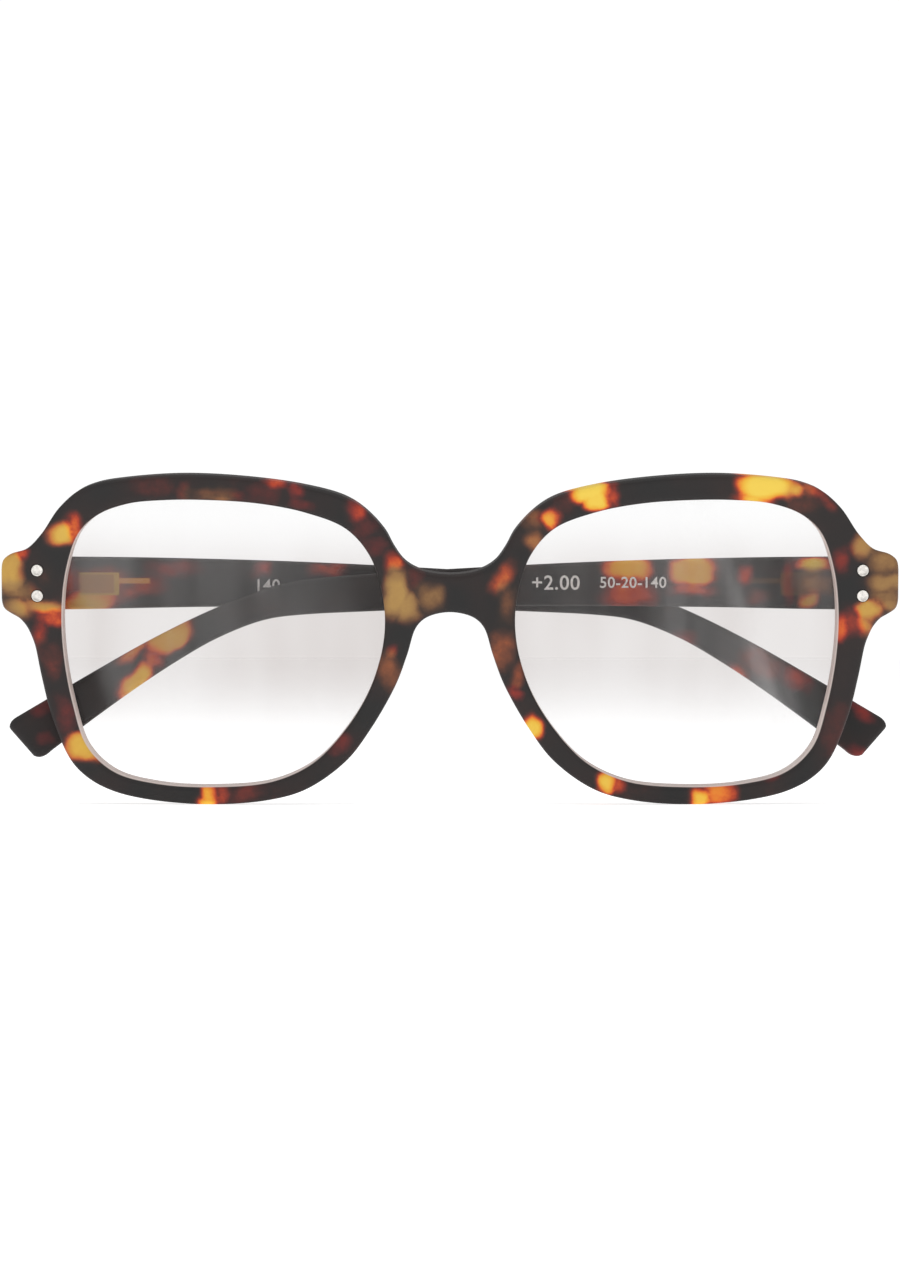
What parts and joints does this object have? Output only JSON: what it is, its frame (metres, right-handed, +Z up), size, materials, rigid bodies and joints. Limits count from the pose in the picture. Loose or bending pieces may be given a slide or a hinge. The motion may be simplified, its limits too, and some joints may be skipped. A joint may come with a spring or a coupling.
{
  "type": "folding reading glasses",
  "caption": "Tortoiseshell reading glasses with a soft square front and clear lenses; the temples fold flat behind the front on riveted barrel hinges.",
  "frame": {"origin": "middle of the base of the folded glasses' box, on the surface that the rims' bottoms stand on", "axes": "+X towards the wearer's left, +Y backwards from the front towards the folded temples, +Z up as worn"},
  "size_m": [0.141, 0.0242, 0.0521],
  "materials": {
    "tortoise": "matte tortoiseshell acetate, dark brown with amber patches",
    "lens": "clear polished lens plastic",
    "hinge_metal": "satin nickel silver",
    "screw_steel": "satin steel",
    "rivet_silver": "satin silver",
    "print": "white pad print"
  },
  "bodies": {
    "front": {"front_frame": "tortoise", "lens_left": "lens", "lens_right": "lens", "front_hinge_left": "hinge_metal", "front_hinge_right": "hinge_metal", "hinge_screw_left": "screw_steel", "hinge_screw_right": "screw_steel", "rivet_left_upper": "rivet_silver", "rivet_left_lower": "rivet_silver", "rivet_right_upper": "rivet_silver", "rivet_right_lower": "rivet_silver"},
    "left_temple": {"temple_left": "tortoise", "temple_hinge_left": "hinge_metal"},
    "right_temple": {"temple_right": "tortoise", "temple_hinge_right": "hinge_metal"}
  },
  "joints": [
    {"name": "left_temple_hinge", "type": "hinge", "parent": "front", "child": "left_temple", "pos_m": [0.0648, 0.00291, 0.03475], "axis": [0, 0, -1], "range_deg": [0, 91.72]},
    {"name": "right_temple_hinge", "type": "hinge", "parent": "front", "child": "right_temple", "pos_m": [-0.0648, 0.00291, 0.03475], "axis": [0, 0, 1], "range_deg": [0, 88.28]}
  ]
}
